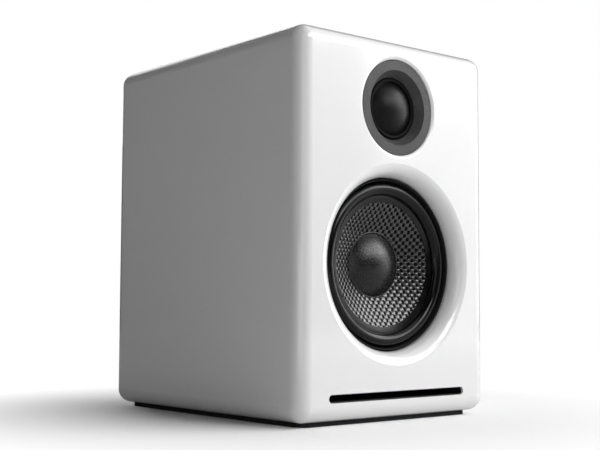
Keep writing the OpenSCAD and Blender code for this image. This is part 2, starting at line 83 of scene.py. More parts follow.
# Driver sizes shared with the CAD source, in millimetres
CONE_EDGE = 25.6      # where the cone turns into its flat rim
CONE_FRONT = 9.4      # depth of that rim
CONE_SLOPE = 0.473
CONE_NECK = 10.15
CONE_RIM = 28.0
CAP_RIM = 13.1
CAP_HEIGHT = 5.0
ROLL_MIDDLE = 30.5
ROLL_RADIUS = 2.9
RUBBER = 0.6
SURROUND_FRONT = 8.8
SILK_FRONT = 4.6
SILK = 0.3
DOME_RIM = 10.5
DOME_HEIGHT = 4.1
SILK_ROLL_MIDDLE = 11.55
SILK_ROLL_RADIUS = 0.9
FLANGE = 39.0         # outside of the woofer's flange
GASKET_FRONT = 8.0    # floor of the rebate that the woofer's gasket sits in
SLOT_WIDTH = 74.0
SLOT_HEIGHT = 3.2
SLOT_Z = 10.6         # height of the slot's middle above the desk

# ---------------------------------------------------------------- camera


def add_camera():
    """A long lens to the front left, a little above the desk and looking slightly up."""
    data = bpy.data.cameras.new("camera")
    data.lens = 66.64
    data.sensor_width = 36
    data.clip_start = 0.01
    camera = bpy.data.objects.new("camera", data)
    turn, look_up, roll = (math.radians(a) for a in (-39.95, 4.145, 0.235))
    camera.matrix_world = (
        Matrix.Translation((-0.3127, -0.3774, 0.0454))
        @ Matrix.Rotation(turn, 4, "Z")
        @ Matrix.Rotation(math.pi / 2 + look_up, 4, "X")
        @ Matrix.Rotation(roll, 4, "Z")
    )
    bpy.context.scene.collection.objects.link(camera)
    bpy.context.scene.camera = camera


# ---------------------------------------------------------------- shader helpers


class Shader:
    """A material's node tree around one Principled shader, with short calls for its nodes."""

    def __init__(self, name, colour, roughness, **inputs):
        self.material = bpy.data.materials.new(name)
        self.material.use_nodes = True
        self.tree = self.material.node_tree
        self.main = self.tree.nodes["Principled BSDF"]
        self.place = self.tree.nodes.new("ShaderNodeTexCoord").outputs["Object"]
        self.bumps = []
        self.set("Base Color", colour)
        self.set("Roughness", roughness)
        for key, value in inputs.items():
            self.set(key.replace("_", " ").title(), value)

    def set(self, socket, value):
        names = {"Ior": "IOR", "Coat Ior": "Coat IOR", "Specular": "Specular IOR Level"}
        target = self.main.inputs[names.get(socket, socket)]
        if isinstance(value, bpy.types.NodeSocket):
            self.tree.links.new(value, target)
        elif isinstance(value, (tuple, list)) and len(value) == 3:
            target.default_value = (*value, 1)
        else:
            target.default_value = value

    def node(self, kind, **settings):
        n = self.tree.nodes.new("ShaderNode" + kind)
        for key, value in settings.items():
            if key.startswith("in_"):
                socket = n.inputs[int(key[3:])] if key[3:].isdigit() else n.inputs[key[3:]]
                if isinstance(value, bpy.types.NodeSocket):
                    self.tree.links.new(value, socket)
                else:
                    socket.default_value = value
            else:
                setattr(n, key, value)
        return n

    def stretched(self, scale):
        """Object coordinates multiplied by scale along each axis."""
        return self.node("Mapping", in_Vector=self.place, in_Scale=scale).outputs[0]

    def noise(self, scale, detail=3, roughness=0.55, vector=None):
        return self.node(
            "TexNoise",
            in_Vector=vector or self.place,
            in_Scale=scale,
            in_Detail=detail,
            in_Roughness=roughness,
        ).outputs["Fac"]

    def cells(self, scale, vector=None):
        return self.node("TexVoronoi", in_Vector=vector or self.place, in_Scale=scale).outputs["Distance"]

    def weave(self, pitch, axes="xz"):
        """Height, from 0 to 1, of a plain weave of that pitch, in metres, in a plane."""
        split = self.node("SeparateXYZ", in_0=self.place).outputs
        waves = []
        for axis in axes:
            turn = self.math("MULTIPLY", split["xyz".index(axis)], math.pi / pitch)
            waves.append(self.math("SINE", turn))
        product = self.math("MULTIPLY", waves[0], waves[1])
        return self.math("ABSOLUTE", product)

    def math(self, operation, a, b=0.0):
        return self.node("Math", operation=operation, in_0=a, in_1=b).outputs[0]

    def ramp(self, value, low, high, to_low=0.0, to_high=1.0):
        """value taken from low..high to to_low..to_high, and held beyond them."""
        return self.node(
            "MapRange", in_0=value, in_1=low, in_2=high, in_3=to_low, in_4=to_high
        ).outputs[0]

    def mix(self, amount, a, b):
        n = self.node("Mix", data_type="RGBA", in_0=amount)
        for socket, value in ((n.inputs[6], a), (n.inputs[7], b)):
            if isinstance(value, bpy.types.NodeSocket):
                self.tree.links.new(value, socket)
            else:
                socket.default_value = (*value, 1)
        return n.outputs[2]

    def vary_colour(self, amount, a, b):
        self.set("Base Color", self.mix(amount, a, b))
        return self

    def vary_roughness(self, value, low, high):
        self.set("Roughness", self.ramp(value, 0.3, 0.7, low, high))
        return self

    def bump(self, height, distance, strength=1.0):
        """Adds height, in metres at value 1, to the bumps already there."""
        n = self.node("Bump", in_Height=height, in_Distance=distance, in_Strength=strength)
        if self.bumps:
            self.tree.links.new(self.bumps[-1], n.inputs["Normal"])
        self.bumps.append(n.outputs[0])
        self.set("Normal", n.outputs[0])
        return self


def grey(level):
    return (level, level, level)


def lacquer():
    """White lacquer over primed board: a clear coat with a trace of orange peel."""
    s = Shader("white_lacquer", grey(0.8), 0.32, coat_weight=1.0, coat_roughness=0.07, coat_ior=1.5)
    s.vary_colour(s.ramp(s.noise(30, 2), 0.3, 0.7), (0.8, 0.8, 0.803), (0.805, 0.805, 0.805))
    s.vary_roughness(s.noise(200, 2), 0.3, 0.34)
    s.bump(s.noise(330, 1, 0.3), 0.000004)
    return s.material


def moulded(name, colour, roughness=0.45, grain=0.00002, size=2600, **inputs):
    """Moulded plastic with a fine spark-eroded grain."""
    s = Shader(name, colour, roughness, **inputs)
    light = tuple(min(1, c * 1.25 + 0.002) for c in colour)
    s.vary_colour(s.ramp(s.noise(90, 5), 0.35, 0.7), colour, light)
    s.vary_roughness(s.noise(240, 4), roughness - 0.06, roughness + 0.08)
    s.bump(s.cells(size), grain)
    s.bump(s.noise(size * 0.45, 4), grain * 0.8)
    return s.material


def rubber(name, colour=(0.006, 0.006, 0.0065), roughness=0.42, grain=0.00001, **inputs):
    """Soft black rubber: dull, with faint flow marks and a little dust."""
    s = Shader(name, colour, roughness, **inputs)
    dust = s.ramp(s.noise(5200, 2, 0.7), 0.68, 0.8)
    s.vary_colour(dust, colour, tuple(c * 2 + 0.003 for c in colour))
    s.vary_roughness(s.noise(170, 4), roughness - 0.05, roughness + 0.07)
    s.bump(s.noise(3200, 3), grain)
    return s.material


def foam(name, colour=(0.009, 0.009, 0.01), size=1500, depth=0.00012):
    """Closed-cell foam with open cells where it was cut."""
    s = Shader(name, colour, 0.92, specular=0.2)
    cell = s.cells(size)
    fine = s.cells(size * 2.3)
    # The cells are coloured darker at their middles, where the bump sinks pits: painted shade in the open
    # cells.
    s.vary_colour(s.ramp(cell, 0.05, 0.5), tuple(c * 0.35 for c in colour), tuple(c * 1.9 for c in colour))
    s.bump(cell, depth).bump(fine, depth * 0.5)
    return s.material


def fibre(name, colour, size=700, depth=0.0004, stretch=(1, 1, 1)):
    """Loose or felted fibres."""
    s = Shader(name, colour, 0.95, sheen_weight=0.4, sheen_roughness=0.5)
    place = s.stretched(stretch)
    strand = s.noise(size, 6, 0.75, place)
    tangle = s.noise(size * 0.22, 5, 0.7, place)
    s.vary_colour(s.ramp(strand, 0.35, 0.65), tuple(c * 0.6 for c in colour), colour)
    s.bump(strand, depth * 0.5).bump(tangle, depth)
    return s.material


def cloth(name, colour, pitch, roughness, depth, axes="xz", **inputs):
    """Fine plain-weave cloth, coated or dipped."""
    s = Shader(name, colour, roughness, **inputs)
    thread = s.weave(pitch, axes)
    speck = s.noise(0.9 / pitch, 3, 0.7)
    # Colour follows the weave's relief: darker in the gaps between threads and lighter on their crowns, a
    # painted shade in the gaps.
    s.vary_colour(s.ramp(thread, 0.1, 0.9), tuple(c * 0.45 for c in colour), tuple(c * 1.5 for c in colour))
    s.set("Roughness", s.ramp(speck, 0.35, 0.68, roughness - 0.12, roughness + 0.2))
    s.bump(thread, depth).bump(speck, depth * 1.2)
    return s.material


def metal(name, colour, roughness=0.3, brushed=None, grain=0.000004, **inputs):
    """Bare or plated metal. brushed stretches the scratches along an axis."""
    s = Shader(name, colour, roughness, metallic=1.0, **inputs)
    place = s.stretched(brushed) if brushed else s.place
    scratch = s.noise(900, 5, 0.65, place)
    s.vary_colour(s.ramp(s.noise(120, 4), 0.3, 0.7), tuple(c * 0.86 for c in colour), colour)
    s.vary_roughness(scratch, max(0.04, roughness - 0.09), roughness + 0.12)
    s.bump(scratch, grain)
    return s.material


def ferrite():
    """Ground ceramic magnet: dark, chalky and a little chipped."""
    s = Shader("ferrite", (0.035, 0.035, 0.038), 0.55, specular=0.6)
    grit = s.noise(1500, 5, 0.7)
    s.vary_colour(s.ramp(grit, 0.35, 0.7), (0.025, 0.025, 0.027), (0.07, 0.07, 0.074))
    s.vary_roughness(s.noise(300, 4), 0.42, 0.66)
    s.bump(grit, 0.00003).bump(s.cells(260), 0.00004, 0.4)
    return s.material


def enamelled(name, colour=(0.72, 0.27, 0.1)):
    """Enamelled copper wire."""
    s = Shader(name, colour, 0.24, metallic=0.85, coat_weight=0.6, coat_roughness=0.12)
    s.vary_colour(s.ramp(s.noise(400, 3), 0.3, 0.7), tuple(c * 0.7 for c in colour), colour)
    s.vary_roughness(s.noise(900, 3), 0.18, 0.34)
    s.bump(s.noise(2500, 2), 0.000004)
    return s.material


# ---------------------------------------------------------------- mesh helpers


def mesh_object(name, points, faces, material, normals=None):
    """A smooth mesh object from points in metres. normals, if given, is one per face corner."""
    mesh = bpy.data.meshes.new(name)
    mesh.from_pydata(points, [], faces)
    mesh.polygons.foreach_set("use_smooth", [True] * len(mesh.polygons))
    mesh.validate()
    if normals is not None:
        mesh.normals_split_custom_set(normals)
    mesh.materials.append(material)
    obj = bpy.data.objects.new(name, mesh)
    bpy.context.scene.collection.objects.link(obj)
    return obj


def outline_normals(outline, sharp_degrees):
    """For a closed outline, the normal at each edge's start and end, shared across soft corners."""
    pts = np.array(outline, float)
    edge = np.roll(pts, -1, axis=0) - pts
    area = np.sum(pts[:, 0] * np.roll(pts[:, 1], -1) - np.roll(pts[:, 0], -1) * pts[:, 1])
    flat = np.stack([edge[:, 1], -edge[:, 0]], axis=1) * (1 if area > 0 else -1)
    flat /= np.linalg.norm(flat, axis=1, keepdims=True)
    start, end = flat.copy(), flat.copy()
    limit = math.cos(math.radians(sharp_degrees))
    for i in range(len(pts)):
        if flat[i - 1] @ flat[i] > limit:
            shared = flat[i - 1] + flat[i]
            start[i] = end[i - 1] = shared / np.linalg.norm(shared)
    return start, end, area > 0


def lathe(name, outline, place, material, segments=240, sector=None, sharp=38):
    """Turns a closed outline of (radius, depth), in mm, round the local Z axis of place.

    sector = (index, count) makes one closed sector of count."""
    index, count = sector or (0, 1)
    steps = segments // count
    n = len(outline)
    angles = [TAU * (index * steps + k) / segments for k in range(steps + (count > 1))]
    turn = place.to_3x3()
    points = [
        place @ (Vector((r * math.cos(a), r * math.sin(a), s)) * MM) for a in angles for r, s in outline
    ]
    start, end, anticlockwise = outline_normals(outline, sharp)
    faces, normals = [], []

    def turned(v, a):
        return turn @ Vector((v[0] * math.cos(a), v[0] * math.sin(a), v[1]))

    for k in range(steps):
        after = (k + 1) % len(angles)
        for i in range(n):
            j = (i + 1) % n
            corners = [
                (k * n + i, start[i], angles[k]),
                (after * n + i, start[i], angles[after]),
                (after * n + j, end[i], angles[after]),
                (k * n + j, end[i], angles[k]),
            ]
            if not anticlockwise:
                corners.reverse()
            faces.append([c[0] for c in corners])
            normals += [turned(v, a) for _, v, a in corners]
    if count > 1:
        first = list(range(n))
        last = [steps * n + i for i in range(n)]
        (last if anticlockwise else first).reverse()
        for face, a, side in ((first, angles[0], -1), (last, angles[-1], 1)):
            faces.append(face)
            normals += [turn @ Vector((-math.sin(a) * side, math.cos(a) * side, 0))] * n
    return mesh_object(name, points, faces, material, normals)


def arc(centre_r, centre_s, radius, start, end, steps):
    """Points on an arc in the (radius, depth) plane, from start to end degrees."""
    return [
        (
            centre_r + radius * math.cos(math.radians(start + (end - start) * k / steps)),
            centre_s + radius * math.sin(math.radians(start + (end - start) * k / steps)),
        )
        for k in range(steps + 1)
    ]


def soft_box(r_in, r_out, front, back, corner, steps=4):
    """Outline of a ring's rectangular section with rounded corners."""
    return (
        arc(r_out - corner, front + corner, corner, -90, 0, steps)
        + arc(r_out - corner, back - corner, corner, 0, 90, steps)
        + arc(r_in + corner, back - corner, corner, 90, 180, steps)
        + arc(r_in + corner, front + corner, corner, 180, 270, steps)
    )


def rounded_rectangle(width, height, corner, steps=10):
    """Points round a rectangle with round corners."""
    points = []
    for quarter, (sx, sy) in enumerate(((1, 1), (-1, 1), (-1, -1), (1, -1))):
        for k in range(steps + 1):
            a = math.pi / 2 * (quarter + k / steps)
            points.append((
                sx * (width / 2 - corner) + corner * math.cos(a),
                sy * (height / 2 - corner) + corner * math.sin(a),
            ))
    return points


def loft(name, rings, material, closed=False, sharp=40):
    """A closed skin over rings of points in metres: ends are filled, or joined if closed."""
    rings = [np.asarray(ring, float) for ring in rings]
    n = len(rings[0])
    faces = []
    count = len(rings)
    for i in range(count if closed else count - 1):
        a, b = i * n, (i + 1) % count * n
        faces += [[a + k, a + (k + 1) % n, b + (k + 1) % n, b + k] for k in range(n)]
    if not closed:
        faces += [list(range(n))[::-1], [(count - 1) * n + k for k in range(n)]]
    obj = mesh_object(name, np.concatenate(rings).tolist(), faces, material)
    turn_outwards(obj.data)
    obj.data.set_sharp_from_angle(angle=math.radians(sharp))
    return obj


def turn_outwards(mesh):
    """Flips a closed mesh whose faces point inwards."""
    mesh.calc_loop_triangles()
    volume = sum(
        mesh.vertices[t.vertices[0]].co.dot(
            mesh.vertices[t.vertices[1]].co.cross(mesh.vertices[t.vertices[2]].co)
        )
        for t in mesh.loop_triangles
    )
    if volume < 0:
        mesh.flip_normals()


def block(name, low, high, corner, material, steps=5):
    """A box between two corners, in metres, whose edges along Y and end faces are rounded."""
    low, high = Vector(low), Vector(high)
    size, centre = high - low, (low + high) / 2
    rings = []
    turns = [math.pi / 2 * k / steps for k in range(steps + 1)]
    ends = [(corner * (1 - math.cos(a)), corner * (1 - math.sin(a))) for a in turns]
    profile = [(low.y + along, inset) for along, inset in ends]
    profile += [(high.y - along, inset) for along, inset in ends[::-1]]
    for y, inset in profile:
        outline = rounded_rectangle(size.x - 2 * inset, size.z - 2 * inset, corner * 1.2, steps)
        rings.append([(centre.x + x, y, centre.z + z) for x, z in outline])
    return loft(name, rings, material)


def smooth_path(points, steps):
    """A Catmull-Rom curve through given points."""
    p = np.array(points, float)
    p = np.vstack([p[0], p, p[-1]])
    out = []
    for i in range(1, len(p) - 2):
        a, b, c, d = p[i - 1 : i + 3]
        for t in np.arange(steps) / steps:
            out.append(0.5 * (
                2 * b + (c - a) * t + (2 * a - 5 * b + 4 * c - d) * t**2 + (3 * b - a - 3 * c + d) * t**3
            ))
    out.append(p[-1])
    return np.array(out)


def path_frames(path):
    """Directions along a path and two across it that don't twist."""
    along = np.gradient(path, axis=0)
    along /= np.linalg.norm(along, axis=1, keepdims=True)
    side = np.cross(along[0], (1, 0, 0) if abs(along[0][0]) < 0.9 else (0, 0, 1))
    sides = []
    for d in along:
        side = side - d * (side @ d)
        side /= np.linalg.norm(side)
        sides.append(side)
    sides = np.array(sides)
    return along, sides, np.cross(along, sides)


def tube_rings(path, radius, sides):
    """Rings round a path, closing in at both ends. path and radius are in one unit."""
    along, u, v = path_frames(path)
    angles = np.linspace(0, TAU, sides, endpoint=False)
    circle = np.cos(angles)[:, None], np.sin(angles)[:, None]
    rings = [path[i] + radius * (circle[0] * u[i] + circle[1] * v[i]) for i in range(len(path))]
    first = path[0] + 0.5 * radius * (circle[0] * u[0] + circle[1] * v[0]) - 0.02 * radius * along[0]
    last = path[-1] + 0.5 * radius * (circle[0] * u[-1] + circle[1] * v[-1]) + 0.02 * radius * along[-1]
    return [first] + rings + [last]


def joined(objects, name):
    """One object from several, which are removed."""
    points, faces = [], []
    for obj in objects:
        base = len(points)
        points += [v.co.copy() for v in obj.data.vertices]
        faces += [[base + i for i in p.vertices] for p in obj.data.polygons]
    material = objects[0].data.materials[0]
    for obj in objects:
        bpy.data.objects.remove(obj)
    whole = mesh_object(name, points, faces, material)
    whole.data.set_sharp_from_angle(angle=math.radians(50))
    return whole


def stand_in(obj, node, body=ROOT):
    """obj takes a CAD node's place, hiding the node, and moves with a body."""
    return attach(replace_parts(obj, node), body)


def sectors(name, outline, place, material, count, node, segments=360):
    """Stands for a ring-shaped suspension with sectors, each a closed piece of the ring."""
    for i in range(count):
        piece = lathe(f"{name}_{i + 1:02d}", outline, place, material, segments, (i, count))
        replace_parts(piece, node)
        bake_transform(piece)


# ---------------------------------------------------------------- stage


def add_area(name, place, look_at, size, power):
    data = bpy.data.lights.new(name, "AREA")
    data.shape = "RECTANGLE"
    data.size, data.size_y = size
    data.energy = power
    light = bpy.data.objects.new(name, data)
    light.location = place
    light.rotation_euler = (Vector(look_at) - Vector(place)).to_track_quat("-Z", "Y").to_euler()
    bpy.context.scene.collection.objects.link(light)


def add_stage():
    """A pale floor that fades to white far away, a white surround that only the camera sees at
    full strength, and softboxes: name, place, where it points, size and power."""
    floor = Shader("floor_paper", grey(0.8), 0.9, specular=0.1)
    seen = floor.node("LightPath").outputs["Is Camera Ray"]
    distance = floor.node("VectorMath", operation="LENGTH", in_0=floor.place).outputs["Value"]
    far = floor.math("MULTIPLY", floor.ramp(distance, 0.06, 0.17), seen)
    near_colour = floor.mix(seen, grey(0.75), grey(0.95))
    floor.set("Base Color", floor.mix(far, near_colour, grey(0.0)))
    floor.set("Emission Color", grey(1.0))
    floor.set("Emission Strength", far)
    floor.bump(floor.noise(900, 3), 0.00001)
    half = 6.0
    corners = [(-half, -half, 0), (half, -half, 0), (half, half, 0), (-half, half, 0)]
    mesh_object("floor", corners, [(0, 1, 2, 3)], floor.material)

    world = bpy.data.worlds.new("studio")
    bpy.context.scene.world = world
    world.use_nodes = True
    tree = world.node_tree
    background = tree.nodes["Background"]
    seen = tree.nodes.new("ShaderNodeLightPath").outputs["Is Camera Ray"]
    strength = tree.nodes.new("ShaderNodeMapRange")
    lit, shown = 0.04, 1.0
    strength.inputs[3].default_value = lit
    strength.inputs[4].default_value = shown
    tree.links.new(seen, strength.inputs[0])
    tree.links.new(strength.outputs[0], background.inputs["Strength"])
    background.inputs["Color"].default_value = (1, 1, 1, 1)

    body = (0, 0, 0.08)
    softboxes = (
        ("key", (1.08, -0.84, 0.86), body, (1.3, 0.6), 11.5),
        ("key_left", (0.25, -1.3, 0.84), body, (0.6, 0.5), 6),
        ("overhead", (0.6, -0.4, 1.2), body, (1.4, 1.3), 5.5),
        ("right_side", (1.1, -0.35, 0.22), (0, -0.065, 0.08), (0.4, 0.4), 1.8),
        ("right_panel", (0.83, -0.7, 0.14), (0, -0.065, 0.1), (0.34, 0.34), 0.5),
        ("right_block", (0.83, -0.7, 0.36), (0, -0.065, 0.1), (0.36, 0.12), 0.5),
        ("top_strip", (0.8, -0.74, 0.49), (0, -0.065, 0.1), (0.5, 0.16), 0.9),
        ("front_left", (-0.62, -0.95, 0.35), (-0.04, -0.06, 0.07), (0.5, 0.6), 0.9),
        ("near_fill", (-0.36, -0.3, 0.04), (-0.05, -0.06, 0.02), (0.24, 0.1), 0.1),
        ("back_left", (-0.68, 0.9, 0.2), (-0.05, 0, 0.07), (0.36, 0.42), 0.08),
        ("behind", (0.45, 1.3, 0.7), body, (1.0, 0.8), 3),
    )
    for name, place, look_at, size, power in softboxes:
        add_area(name, place, look_at, size, power)
    bpy.context.scene.view_settings.view_transform = "Standard"
    bpy.context.scene.view_settings.look = "None"


# ---------------------------------------------------------------- woofer

THREAD_PITCH = 1.6


def weave(x, z, pitch):
    """Height from 0 to 1, and a share that says which thread is on top, of a plain weave."""
    i, j = np.floor(x / pitch), np.floor(z / pitch)
    u, v = x / pitch - i - 0.5, z / pitch - j - 0.5
    over = np.where((i + j) % 2 == 0, 1.0, -1.0)
    half = 0.47
    across_u = np.sqrt(np.clip(1 - (u / half) ** 2, 0, 1))
    across_v = np.sqrt(np.clip(1 - (v / half) ** 2, 0, 1))
    warp = 0.45 * across_u + 0.45 * over * np.cos(math.pi * v) - 0.1
    weft = 0.55 * across_v - 0.45 * over * np.cos(math.pi * u)
    return np.clip(np.maximum(warp, weft), 0, 1), (weft > warp).astype(float)


def cone_depth(r):
    return CONE_FRONT + CONE_SLOPE * np.clip(CONE_EDGE - r, 0, None)


def add_cone():
    """The woven cone: threads are real relief on the front, fading out under the surround."""
    relief = 0.22
    rings = 96
    around = 960
    radii = np.concatenate([np.linspace(CONE_NECK, CONE_EDGE, rings), [CONE_RIM]])
    angles = np.linspace(0, TAU, around, endpoint=False)
    r, a = np.meshgrid(radii, angles, indexing="ij")
    x, z = r * np.cos(a), r * np.sin(a)
    slant = math.hypot(1, CONE_SLOPE)
    height, is_weft = weave(x * slant, z * slant, THREAD_PITCH)
    fade = np.clip((CONE_EDGE - 0.2 - r) / 0.35, 0, 1) * np.clip((r - CONE_NECK) / 0.5, 0, 1)
    front = cone_depth(r) - relief * height * fade
    back = cone_depth(r) + 0.55
    points, faces = [], []
    for layer in (front, back):
        points.append(np.stack([x * MM, FRONT_Y + layer * MM, WOOFER_Z + z * MM], -1).reshape(-1, 3))
    points = np.concatenate(points)
    count = len(radii)
    k = np.arange(around)
    after = (k + 1) % around
    back_at = count * around
    for i in range(count - 1):
        a0, a1, b1, b0 = i * around + k, i * around + after, (i + 1) * around + after, (i + 1) * around + k
        faces.append(np.stack([a0, a1, b1, b0], -1))
        faces.append(np.stack([b0, b1, a1, a0], -1) + back_at)
    rim, neck = (count - 1) * around, 0
    faces.append(np.stack([rim + k, rim + after, rim + after + back_at, rim + k + back_at], -1))
    faces.append(np.stack([neck + after, neck + k, neck + k + back_at, neck + after + back_at], -1))
    faces = np.concatenate(faces)

    s = Shader("woven_cone", grey(0.02), 0.3, coat_roughness=0.16)
    thread = s.node("Attribute", attribute_name="weft").outputs["Fac"]
    fleck = s.ramp(s.noise(2600, 3, 0.6), 0.35, 0.7)
    # Weft threads are coloured lighter than the warp threads: a painted highlight standing for the glints
    # one thread family catches from the lights.
    s.set(
        "Base Color",
        s.mix(thread, s.mix(fleck, grey(0.001), grey(0.003)), s.mix(fleck, grey(0.006), grey(0.024))),
    )
    s.set("Roughness", s.ramp(thread, 0, 1, 0.5, 0.24))
    s.set("Specular", s.ramp(thread, 0, 1, 0.05, 0.75))
    s.set("Coat Weight", s.ramp(thread, 0, 1, 0.0, 0.5))
    s.bump(s.noise(6500, 3, 0.6), 0.00002)
    cone = mesh_object("cone_weave", points.tolist(), faces.tolist(), s.material)
    # The weft share is also the mask for that painted highlight colour, besides the weft's roughness,
    # specular and coat.
    share = cone.data.attributes.new("weft", "FLOAT", "POINT")
    share.data.foreach_set("value", np.concatenate([(is_weft * fade).ravel()] * 2).astype(np.float32))
    stand_in(cone, "woofer_cone", CONE_BODY)


def cap_outline(rim_r, rim_s, height, thickness, steps=40):
    """Outline of a thin spherical cap, crowned towards the front, with a pinhole on its axis."""
    crown = (rim_r**2 + height**2) / (2 * height)
    centre = rim_s - height + crown
    edge = math.degrees(math.asin(rim_r / crown))
    pinhole = 0.1
    outer = arc(0, centre, crown, -90 + pinhole, -90 + edge, steps)
    inner = arc(0, centre, crown - thickness, -90 + edge, -90 + pinhole, steps)
    return outer + inner


def add_dust_cap():
    cap_cloth = cloth("dust_cap_cloth", grey(0.0005), 0.00055, 0.24, 0.000025, specular=0.5)
    rim_s = float(cone_depth(CAP_RIM))
    outline = cap_outline(CAP_RIM, rim_s, CAP_HEIGHT, 0.5, 48)
    stand_in(lathe("dust_cap", outline, WOOFER, cap_cloth), "woofer_dust_cap", CONE_BODY)
    bead = arc(CAP_RIM + 0.15, rim_s - 0.2, 0.34, 0, 345, 14)
    glue = lathe("dust_cap_bead", bead, WOOFER, rubber("cap_glue", grey(0.01), 0.3))
    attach(glue, CONE_BODY)


def add_surround():
    """Half-roll rubber surround whose inner flange tapers down to the cone."""
    mid_s = SURROUND_FRONT + RUBBER / 2
    inside, outside = CONE_EDGE - 0.5, FLANGE - 0.5
    foot = ROLL_MIDDLE - ROLL_RADIUS
    front = (
        arc(inside + 0.1, SURROUND_FRONT + 0.5, 0.1, 180, 270, 3)
        + arc(foot - 0.3, SURROUND_FRONT + 0.2, 0.2, -105, -70, 3)
        + arc(ROLL_MIDDLE, mid_s, ROLL_RADIUS, -174, -6, 30)
        + [(ROLL_MIDDLE + ROLL_RADIUS + 0.3, SURROUND_FRONT), (outside, SURROUND_FRONT)]
    )
    back = (
        [(outside, SURROUND_FRONT + RUBBER), (ROLL_MIDDLE + ROLL_RADIUS - 0.3, SURROUND_FRONT + RUBBER)]
        + arc(ROLL_MIDDLE, mid_s, ROLL_RADIUS - RUBBER, -4, -176, 24)
        + [(ROLL_MIDDLE - ROLL_RADIUS + 0.2, SURROUND_FRONT + RUBBER), (inside, SURROUND_FRONT + RUBBER)]
    )
    look = rubber("surround_rubber", (0.0025, 0.0025, 0.0027), 0.16, 0.000005, specular=0.25)
    sectors("surround", front + back, WOOFER, look, 60, "woofer_surround")


def add_spider():
    """Corrugated disc, pressed from resin-dipped cotton."""
    thickness, start, outer, waves, steps = 0.5, 11.5, 22.5, 4, 48
    ledge = 20.8
    wave = [
        (start + (outer - start) * i / steps,
         ledge - thickness - 0.7 * (1 - math.cos(TAU * waves * i / steps)) / 2)
        for i in range(steps + 1)
    ]
    neck = 10.1
    outline = (
        [(neck, ledge - 2), (neck + 0.6, ledge - 2), (neck + 0.6, ledge - thickness)]
        + wave
        + [(25.4, ledge - thickness), (25.4, ledge)]
        + [(r, s + thickness) for r, s in wave[::-1]]
        + [(neck, ledge)]
    )
    look = cloth("spider_cotton", (0.42, 0.26, 0.09), 0.0006, 0.75, 0.00006)
    sectors("spider", outline, WOOFER, look, 12, "woofer_spider", 240)


def add_tinsel_leads():
    """Three-strand braid from the back of the cone to each tag."""
    look = metal("tinsel", (0.8, 0.42, 0.2), 0.35)
    lay, offset, strand_r = 1.6, 0.2, 0.19
    for side in (-1, 1):
        x = 4 * side
        path = smooth_path([
            (x, -18, 14.4), (x, -21, 16.6), (x, -25, 17.6), (x, -29, 17.4),
            (x, -31.5, 18.6), (x, -31, 21), (x, -29.4, 22.8), (x, -29.2, 24.5),
        ], 8)
        _, u, v = path_frames(path)
        travelled = np.concatenate([[0], np.cumsum(np.linalg.norm(np.diff(path, axis=0), axis=1))])
        strands = []
        for k in range(3):
            turn = (TAU * (travelled / lay + k / 3))[:, None]
            strand = path + offset * (np.cos(turn) * u + np.sin(turn) * v)
            tube = tube_rings(strand, strand_r, 8)
            rings = [[WOOFER @ (Vector(p) * MM) for p in ring] for ring in tube]
            strands.append(loft(f"strand_{k}", rings, look))
        lead = joined(strands, f"tinsel_lead_{'left' if side < 0 else 'right'}")
        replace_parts(lead, "woofer_tinsel_leads")
        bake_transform(lead)


def turns_outline(r_in, r_out, start, end, count):
    """Outline of a coil's section whose outer side shows each turn of wire."""
    pitch = (end - start) / count
    outline = [(r_in, end), (r_in, start)]
    for k in range(count):
        outline += arc(r_out - pitch / 2, start + (k + 0.5) * pitch, pitch / 2, -80, 80, 5)
    return outline


def add_coils():
    copper = enamelled("coil_wire")
    woofer = lathe("woofer_coil_turns", turns_outline(10.1, 10.6, 26, 33, 24), WOOFER, copper, 180)
    stand_in(woofer, "woofer_voice_coil", CONE_BODY)
    tweeter = lathe("tweeter_coil_turns", turns_outline(10.3, 10.55, 6.8, 8.8, 10), TWEETER, copper, 180)
    stand_in(tweeter, "tweeter_voice_coil", DOME_BODY)
    low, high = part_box("inductor_coil")
    centre = (low + high) / 2
    place = Matrix.Translation((centre.x, low.y, centre.z)) @ QUARTER_BACK
    length = (high.y - low.y) / MM
    outline = turns_outline(4, 7.8, 0, length, 17)
    stand_in(lathe("inductor_turns", outline, place, copper, 120), "inductor_coil")


def add_gaskets():
    """Foam rings: the woofer's shows as a soft nose behind the lip."""
    look = foam("gasket_foam", (0.008, 0.008, 0.009), 1800, 0.0001)
    nose_r, nose_front, round_r, fillet = 33.95, 6.0, 0.35, 0.2
    outline = (
        [(nose_r - round_r, SURROUND_FRONT)]
        + arc(nose_r, nose_front + round_r, round_r, 180, 360, 8)
        + arc(nose_r + round_r + fillet, GASKET_FRONT - fillet, fillet, 180, 90, 3)
        + [(FLANGE, GASKET_FRONT), (FLANGE, SURROUND_FRONT)]
    )
    woofer = stand_in(lathe("woofer_gasket_foam", outline, WOOFER, look), "woofer_gasket")
    outline = soft_box(17.2, 19.1, 3.2, 3.9, 0.2)
    tweeter = stand_in(lathe("tweeter_gasket_foam", outline, TWEETER, look, 180), "tweeter_gasket")

    low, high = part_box("terminal_gasket")
    width, height = (high.x - low.x) / MM, (high.z - low.z) / MM
    front, back = low.y / MM, high.y / MM
    outer, inner = (width, height, 5.6), (62.0, 42.0, 3.0)
    rings = []
    for (w, h, corner), grow, y in (
        (outer, -0.2, front), (outer, 0, front + 0.15), (outer, 0, back - 0.15), (outer, -0.2, back),
        (inner, 0.2, back), (inner, 0, back - 0.15), (inner, 0, front + 0.15), (inner, 0.2, front),
    ):
        ring = rounded_rectangle(w + 2 * grow, h + 2 * grow, corner + grow, 12)
        rings.append([(x * MM, y * MM, PLATE_Z + z * MM) for x, z in ring])
    plate = stand_in(loft("terminal_gasket_foam", rings, look, closed=True), "terminal_gasket")


# ---------------------------------------------------------------- tweeter


